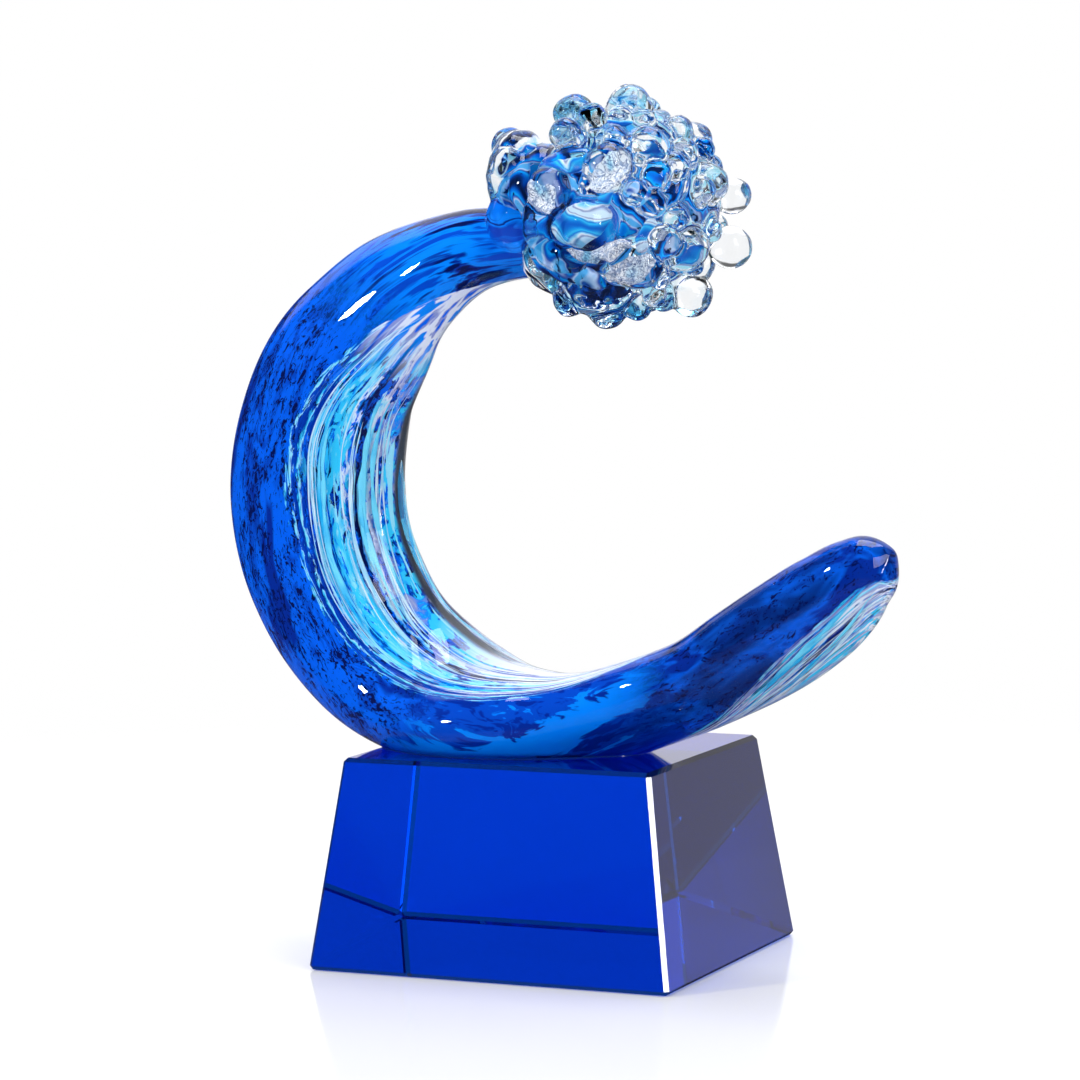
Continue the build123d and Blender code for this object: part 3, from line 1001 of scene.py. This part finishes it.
def makeCrestGlass():
    material, tree, shader = newMaterial("crestCobaltGlass")
    place = objectPlace(tree)
    folds = wavesOf(tree, place, crestColour["folds"], "DIAGONAL")
    flecked = smoothBand(tree, cloudOf(tree, place, crestColour["flecks"]), *crestColour["fleckShare"])
    colour = addRamp(tree, folds, crestColour["foldRamp"])
    colour = mixColour(tree, flecked, colour, sRgb(*crestColour["fleckColour"]))
    finishGlass(tree, shader, colour, crestColour["finish"])
    return material


def makeCrestColour():
    form = bmesh.new()
    for azimuth, elevation, reach, lean, *radii in crestColour["veils"]:
        lumpOnHead(form, azimuth, elevation, reach, lean, radii)
    for offset, azimuth, elevation, lean, *radii in crestColour["hoodVeils"]:
        lumpBeside(form, offset, radii, leaningTurn(azimuth, elevation, lean))
    piece = fusedPiece("crestColour", form, crestColour, makeCrestGlass())
    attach(piece, "root")
    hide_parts("crest_core")


def makeSwirlGlass():
    material, tree, shader = newMaterial("paleSwirlGlass")
    bands = wavesOf(tree, objectPlace(tree), swirl["waves"], "Z")
    finishGlass(tree, shader, addRamp(tree, bands, swirl["ramp"]), swirl["finish"])
    return material


def makeSwirls():
    form = bmesh.new()
    for azimuth, elevation, reach, lean, length, width in swirl["places"]:
        lumpOnHead(form, azimuth, elevation, reach, lean, (length, width, swirl["thickness"]))
    piece = lumpPiece("crestSwirls", form, makeSwirlGlass())
    ripple(piece, swirl["ripples"])
    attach(piece, "root")


makeCrestColour()
makeSwirls()
print("crest colour made")


# silvery crackled patches caught under the crest's skin

crackle = {
    # azimuth, elevation, lean, half length, half width
    "patches": [
        (-118, 7, -35, 6.2, 3.6), (-72, 21, 40, 6.6, 3.4), (-80, -27, 4, 9.5, 2.6),
        (-56, -39, 28, 6.8, 3.4), (62, 22, 10, 6.6, 3.2), (104, -12, 80, 7, 3.4),
        (76, -36, -20, 6.4, 3.2),
    ],
    "reach": 27.2,
    "thickness": 0.7,
    "ripples": [(260, 1.6), (620, 0.7)],
    "bend": {"Scale": 420.0, "Detail": 3.0},
    "bendDepth": 0.0034,
    "cells": 1150.0,
    "cloud": {"Scale": 900.0, "Detail": 4.0},
    # coats over the shade: colour, and where the cloud or the cells' edges take it in part and in full
    "shade": (150, 170, 205),
    "silver": ((246, 249, 255), 0.36, 0.56),
    "cracks": ((104, 120, 158), 0.09, 0.02),
    "blue": ((40, 60, 120), 0.64, 0.68),
    "finish": {"Roughness": 0.25, "Specular IOR Level": 0.5},
    "bump": (0.6, 0.0005),
}


def makeCrackleGlass():
    material, tree, shader = newMaterial("silverCrackle")
    place = objectPlace(tree)
    bend = addNode(tree, "TexNoise", {"Vector": place, **crackle["bend"]}).outputs["Color"]
    moved = addNode(tree, "VectorMath", {
        0: bend, 1: [crackle["bendDepth"]] * 3, 2: place}, operation="MULTIPLY_ADD").outputs[0]
    cells = addNode(tree, "TexVoronoi", {
        "Vector": moved, "Scale": crackle["cells"]}, feature="DISTANCE_TO_EDGE")
    cloud = cloudOf(tree, moved, crackle["cloud"])
    colour = sRgb(*crackle["shade"])
    for value, name in ((cloud, "silver"), (cells.outputs["Distance"], "cracks"), (cloud, "blue")):
        coat, low, high = crackle[name]
        colour = mixColour(tree, smoothBand(tree, value, low, high), colour, sRgb(*coat))
    finishGlass(tree, shader, colour, crackle["finish"])
    addBump(tree, shader, cloud, *crackle["bump"])
    return material


def makeCrackle():
    form = bmesh.new()
    for azimuth, elevation, lean, length, width in crackle["patches"]:
        lumpOnHead(form, azimuth, elevation, crackle["reach"], lean, (length, width, crackle["thickness"]))
    piece = lumpPiece("crestCrackle", form, makeCrackleGlass())
    ripple(piece, crackle["ripples"])
    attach(piece, "root")


makeCrackle()
print("crackle made")


# the crystal block and the bond under the foot

block = {
    "pale": (0, 56, 196),
    "deep": (0, 48, 184),
    # painted shade: a dark grey tint for the chamfers, so the block's edges read as dark lines
    "chamfer": (34, 48, 84),
    "cloud": {"Scale": 14.0, "Detail": 2.0},
    "chamferShare": (0.95, 0.9),
    "finish": {"Roughness": 0.0, "IOR": 1.52, "Transmission Weight": 0.95},
    "lampTint": (120, 160, 235),
}

bond = {
    "pale": (40, 110, 235),
    "deep": (20, 80, 210),
    "cloud": {"Scale": 90.0, "Detail": 2.0},
    "finish": {"Roughness": 0.05, "IOR": 1.45, "Transmission Weight": 0.8},
}


def cloudedColour(tree, look):
    cloud = cloudOf(tree, objectPlace(tree), look["cloud"])
    return mixColour(tree, cloud, sRgb(*look["pale"]), sRgb(*look["deep"]))


def makeBlockGlass():
    material, tree, shader = newMaterial("blockCrystal")
    # the chamfers lie between the main faces, so no part of their normal is near 1. On them the glass
    # takes a dark grey tint, painted shade that draws the block's edges dark
    normal = addNode(tree, "NewGeometry").outputs["True Normal"]
    turned = addNode(tree, "VectorMath", {0: normal}, operation="ABSOLUTE").outputs[0]
    chamfer = smoothBand(tree, largest(tree, *axes(tree, turned)), *block["chamferShare"])
    colour = mixColour(tree, chamfer, cloudedColour(tree, block), sRgb(*block["chamfer"]))
    finishGlass(tree, shader, colour, block["finish"])
    letLampsThrough(tree, shader).inputs["Color"].default_value = sRgb(*block["lampTint"])
    return material


def makeBondGlass():
    material, tree, shader = newMaterial("clearBond")
    finishGlass(tree, shader, cloudedColour(tree, bond), bond["finish"])
    return material


def dress(name, material):
    mesh = nodes[name].data
    mesh.materials.clear()
    mesh.materials.append(material)


dress("base_block", makeBlockGlass())
dress("bond_film", makeBondGlass())
print("block and bond dressed")


# floor, background and lamps

studio = {
    "floorRadius": 1.6,
    "floorCorners": 64,
    # a thin film of air below the block, as under a real one
    "floorGap": 0.0002,
    "floorFade": (0.24, 0.55),
    "floorColour": (0.94, 0.945, 0.955, 1.0),
    "floorFinish": {"Roughness": 0.12, "Specular IOR Level": 0.35},
    # share of the floor that is left out of the glass's shine
    "floorUnseen": 0.9,
    "skyFill": 0.8,
    "backdropAzimuth": 114,
    "roomLevel": 0.02,
    "frontLevel": 0.45,
    "brightSide": 74,
    "sideLevel": 0.6,
    "softboxLevel": 0.85,
    "cardAzimuths": [22, 42, 160, 205, 250, 295, 340],
    "cardLevel": 0.06,
    "ringDepth": 0.8,
    # where each part of the room begins and is full: cosines of the way round, and heights
    "cardEdge": (0.988, 0.996),
    "cardTop": (0.62, 0.5),
    "ringHeights": ((0.5, 0.58), (0.78, 0.7)),
    "frontFade": (-0.3, 0.4),
    "sideEdge": (0.7, 0.88),
    "sideHeights": ((-0.24, -0.14), (0.46, 0.36)),
    "softboxEdge": (0.45, 0.6),
    "softboxHeights": ((0.34, 0.42), (0.9, 0.84)),
    "backdropEdge": (0.95, 0.99),
    "backdropHeight": (-0.1, 0.0),
    # name, place, what it is aimed at, width and height, power
    "lamps": [
        ("windowLamp", (-1.0, -1.1, 0.85), (0, 0, 0.14), (0.12, 0.12), 9.5),
        ("fillLamp", (1.4, -0.9, 0.9), (0, 0, 0.14), (0.9, 0.9), 8.5),
        ("edgeStrip", (1.507, -0.647, 0.3), (0.05, -0.05, 0.05), (0.045, 0.6), 2.6),
        ("topLamp", (0.0, 0.3, 1.6), (0, 0, 0.1), (0.9, 0.9), 11.5),
    ],
}


def makeFloor():
    material, tree, shader = newMaterial("paleFloor")
    finishGlass(tree, shader, studio["floorColour"], studio["floorFinish"])
    reach = addNode(tree, "VectorMath", {0: objectPlace(tree)}, operation="LENGTH").outputs["Value"]
    path = addNode(tree, "LightPath").outputs
    shine = maths(tree, "SUBTRACT", path["Is Glossy Ray"], path["Is Transmission Ray"])
    fade = smoothBand(tree, reach, *studio["floorFade"])
    clearWhere(tree, shader, largest(tree, fade, product(tree, shine, studio["floorUnseen"])))
    corners, radius = studio["floorCorners"], studio["floorRadius"]
    turns = [2 * math.pi * k / corners for k in range(corners)]
    rim = [(radius * math.cos(t), radius * math.sin(t), -studio["floorGap"]) for t in turns]
    newPiece("floor", rim, [tuple(range(corners))], material, False)


def makeWorld():
    # white for what looks at the background, straight or through glass. The glass also picks up
    # narrow dark cards, which draw its edges, and its shine picks up the backdrop, a softbox above
    # it and a dim room in front
    world = bpy.data.worlds.new("studio")
    scene.world = world
    world.use_nodes = True
    tree = world.node_tree
    tree.nodes.clear()
    aim = addNode(tree, "TexCoord").outputs["Generated"]
    height = axes(tree, aim)[2]
    flat = addNode(tree, "VectorMath", {0: aim, 1: (1, 1, 0)}, operation="MULTIPLY").outputs[0]
    level = addNode(tree, "VectorMath", {0: flat}, operation="NORMALIZE").outputs[0]

    def facing(azimuth):
        way = (math.cos(math.radians(azimuth)), math.sin(math.radians(azimuth)), 0)
        return addNode(tree, "VectorMath", {0: level, 1: way}, operation="DOT_PRODUCT").outputs["Value"]

    def between(heights):
        low, high = heights
        return product(tree, smoothBand(tree, height, *low), smoothBand(tree, height, *high))

    cards = product(tree, between(studio["ringHeights"]), studio["ringDepth"])
    low = smoothBand(tree, height, *studio["cardTop"])
    for azimuth in studio["cardAzimuths"]:
        card = smoothBand(tree, facing(azimuth), *studio["cardEdge"])
        cards = largest(tree, cards, product(tree, card, low))
    behind = facing(studio["backdropAzimuth"])
    through = product(
        tree, smoothBand(tree, cards, 0.0, 1.0, 1.0, studio["cardLevel"]),
        smoothBand(tree, behind, *studio["frontFade"], studio["frontLevel"], 1.0))
    side = smoothBand(tree, facing(studio["brightSide"]), *studio["sideEdge"], 0.0, studio["sideLevel"])
    side = largest(tree, product(tree, side, between(studio["sideHeights"])), studio["roomLevel"])
    softbox = smoothBand(tree, behind, *studio["softboxEdge"], 0.0, studio["softboxLevel"])
    softbox = product(tree, between(studio["softboxHeights"]), softbox)
    backdrop = product(
        tree, smoothBand(tree, behind, *studio["backdropEdge"]),
        smoothBand(tree, height, *studio["backdropHeight"]))
    path = addNode(tree, "LightPath").outputs

    def choose(ray, first, second):
        mixed = product(tree, first, maths(tree, "SUBTRACT", 1.0, path[ray]))
        return maths(tree, "ADD", mixed, product(tree, second, path[ray]))

    strength = choose("Is Glossy Ray", studio["skyFill"], largest(tree, side, softbox, backdrop))
    strength = choose("Is Transmission Ray", strength, through)
    strength = choose("Is Camera Ray", strength, 1.0)
    back = addNode(tree, "Background", {"Color": (1, 1, 1, 1), "Strength": strength})
    tree.links.new(back.outputs[0], addNode(tree, "OutputWorld").inputs["Surface"])


def makeLamp(name, place, aim, size, power):
    data = bpy.data.lights.new(name, "AREA")
    data.shape = "RECTANGLE"
    data.size, data.size_y = size
    data.energy = power
    lamp = bpy.data.objects.new(name, data)
    scene.collection.objects.link(lamp)
    lamp.location = place
    lamp.rotation_euler = (Vector(aim) - Vector(place)).to_track_quat("-Z", "Y").to_euler()


makeFloor()
makeWorld()
for row in studio["lamps"]:
    makeLamp(*row)
scene.view_settings.view_transform = "Standard"
print("floor, background and lamps made")
